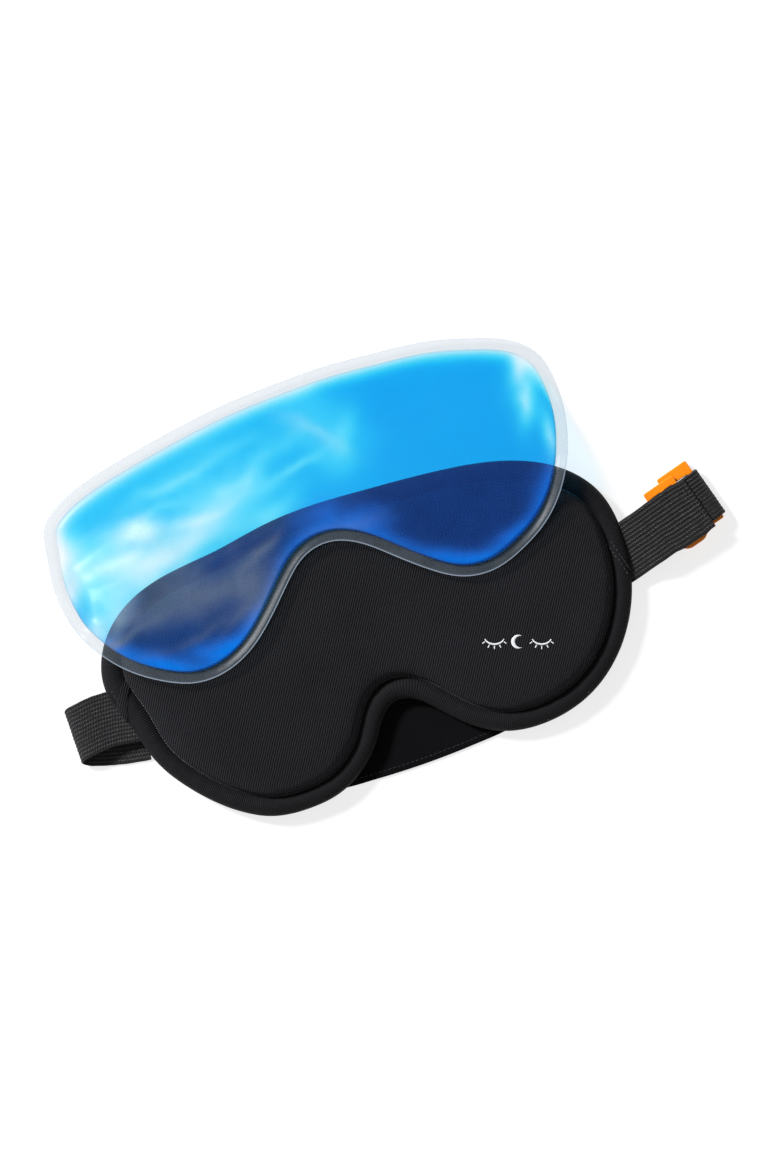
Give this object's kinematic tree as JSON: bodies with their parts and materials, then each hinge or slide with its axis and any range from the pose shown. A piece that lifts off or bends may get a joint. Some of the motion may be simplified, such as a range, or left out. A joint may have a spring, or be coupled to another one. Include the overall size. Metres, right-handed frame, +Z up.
{
  "type": "eye pillow",
  "caption": "Contoured padded sleep mask with elastic head strap and slide adjuster, and a removable translucent gel pack for cooling or warming the eyes.",
  "frame": {"origin": "bottom centre of the box round the whole object, on the surface that the mask's edge roll lies on", "axes": "+X along the mask's width towards the slider end, +Y towards the forehead edge, +Z up, out of the front cover"},
  "size_m": [0.2776, 0.1654, 0.0207],
  "materials": {
    "knit_jersey": "fine-ribbed black jersey, matt with a soft sheen",
    "binding_knit": "ribbed black jersey binding, padded",
    "soft_lining": "smooth matt black tricot",
    "lining": "thin black tricot",
    "flap_fabric": "very matt black fabric",
    "foam": "open-cell foam",
    "elastic": "ribbed woven elastic, black",
    "thread": "polyester thread, black",
    "orange_plastic": "glossy moulded plastic",
    "clear_film": "clear soft film, smooth",
    "blue_gel": "clear blue gel"
  },
  "bodies": {
    "mask": {"front_cover": "knit_jersey", "foam_core": "foam", "pocket_lining": "lining", "back_panel": "soft_lining", "pocket_hem": "soft_lining", "edge_roll": "binding_knit", "seam_piping": "binding_knit", "long_strap_loop": "elastic", "long_strap_run": "elastic", "long_strap_weave": "elastic", "short_strap": "elastic", "short_strap_stitch": "thread", "strap_tack_left": "thread", "strap_tack_right": "thread", "strap_ring": "orange_plastic", "nose_flap_stitch": "thread"},
    "nose_flap": {"nose_flap": "flap_fabric"},
    "slider": {"slider": "orange_plastic", "long_strap_end": "elastic"},
    "gel_pack": {"gel_film_back": "clear_film", "gel_film_front": "clear_film", "gel_fill": "blue_gel"}
  },
  "joints": [
    {"name": "gel_pack_lift", "type": "slide", "parent": "mask", "child": "gel_pack", "axis": [0, 0, 1], "range_m": [0, 0.08]},
    {"name": "slider_travel", "type": "slide", "parent": "mask", "child": "slider", "axis": [0.9636, 0.2672, 0], "range_m": [-0.01, 0], "deforming": ["long_strap_weave"]},
    {"name": "nose_flap_swing", "type": "hinge", "parent": "mask", "child": "nose_flap", "pos_m": [-0.00918, -0.04837, 0.0004], "axis": [1, 0, 0], "range_deg": [0, 60]}
  ]
}
